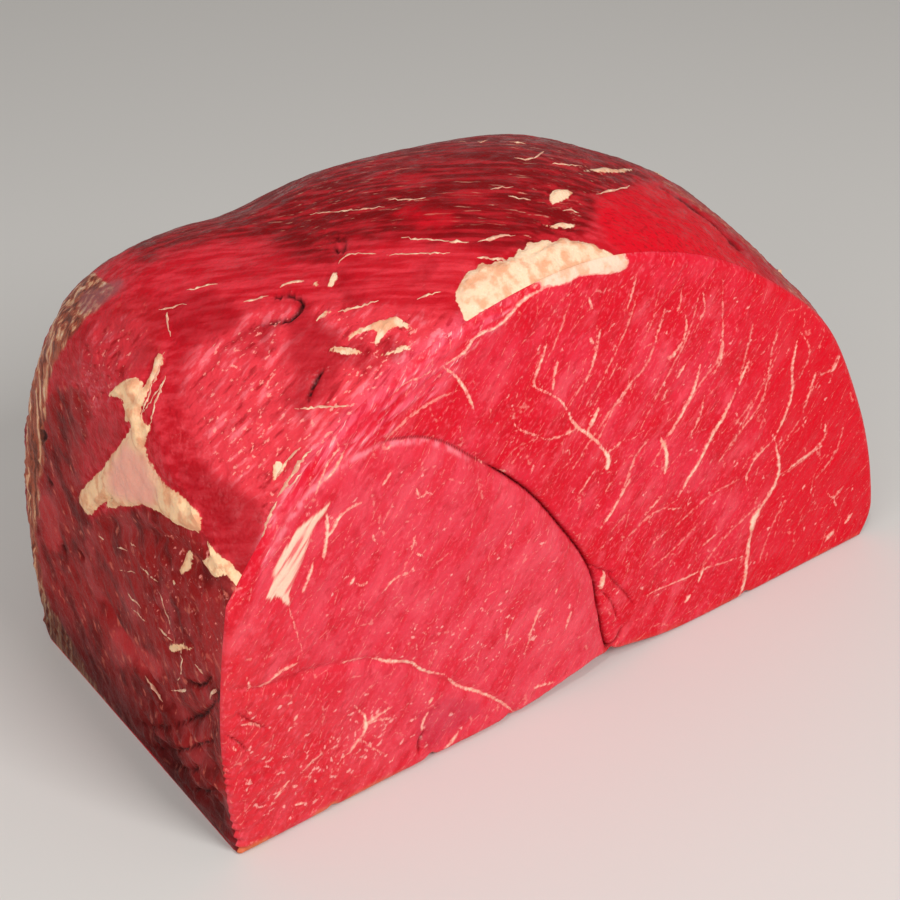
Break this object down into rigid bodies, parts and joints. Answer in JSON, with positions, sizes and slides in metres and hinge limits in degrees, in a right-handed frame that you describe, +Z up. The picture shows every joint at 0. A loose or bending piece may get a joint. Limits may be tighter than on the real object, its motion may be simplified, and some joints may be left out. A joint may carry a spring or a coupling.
{
  "type": "beef rump",
  "caption": "Boned raw rump joint of beef: one lump of muscle with a sliced flat face, a trimmed end, fat seams and a flat base to rest on.",
  "frame": {"origin": "centre of the bounding box at the height of the base the joint rests on", "axes": "+X right along the long sliced face, +Y from the sliced face into the joint, +Z up"},
  "size_m": [0.2718, 0.1598, 0.1662],
  "materials": {
    "meat": "moist raw red muscle",
    "fat": "moist cream fat"
  },
  "bodies": {
    "root": {"rump": "meat"}
  },
  "joints": []
}
